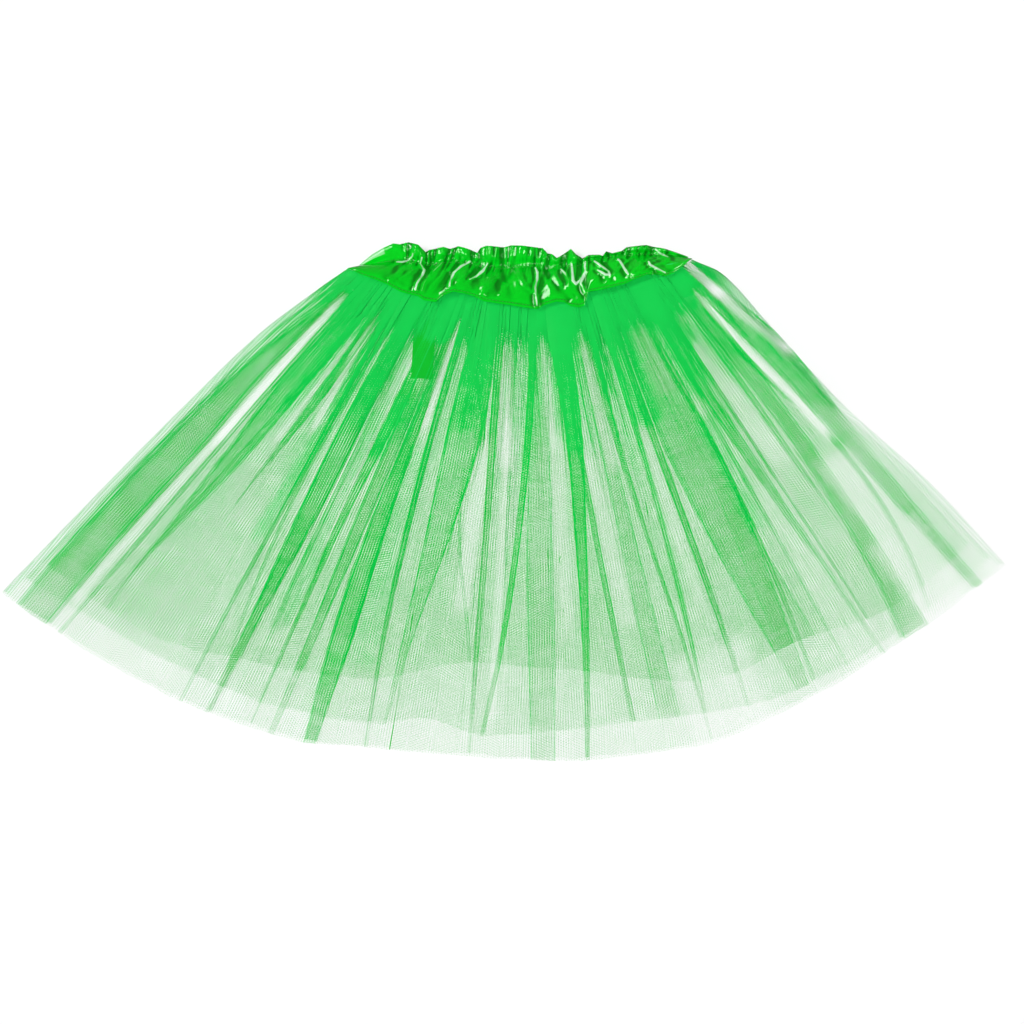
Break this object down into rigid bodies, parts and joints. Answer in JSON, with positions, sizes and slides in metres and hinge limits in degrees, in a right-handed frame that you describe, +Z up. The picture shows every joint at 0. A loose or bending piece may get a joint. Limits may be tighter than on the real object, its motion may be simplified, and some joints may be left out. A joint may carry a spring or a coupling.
{
  "type": "tulle tutu skirt laid flat",
  "caption": "Gathered tulle tutu lying flat, its layered net panels pleated into a fan from a ruffled satin waistband.",
  "frame": {"origin": "centre of the garment's outline on the surface that it lies on", "axes": "+X to the right across the skirt, +Y from hem to waistband, +Z up off the surface"},
  "size_m": [0.7856, 0.4058, 0.0284],
  "materials": {
    "tulle": "open nylon net, slightly crisp",
    "satin": "glossy satin",
    "label": "plain woven ribbon"
  },
  "bodies": {
    "root": {"tulle_outer_front": "tulle", "tulle_outer_back": "tulle", "tulle_middle_front": "tulle", "tulle_middle_back": "tulle", "tulle_inner_front": "tulle", "tulle_inner_back": "tulle", "waistband_front": "satin", "waistband_back": "satin", "care_label": "label"}
  },
  "joints": []
}
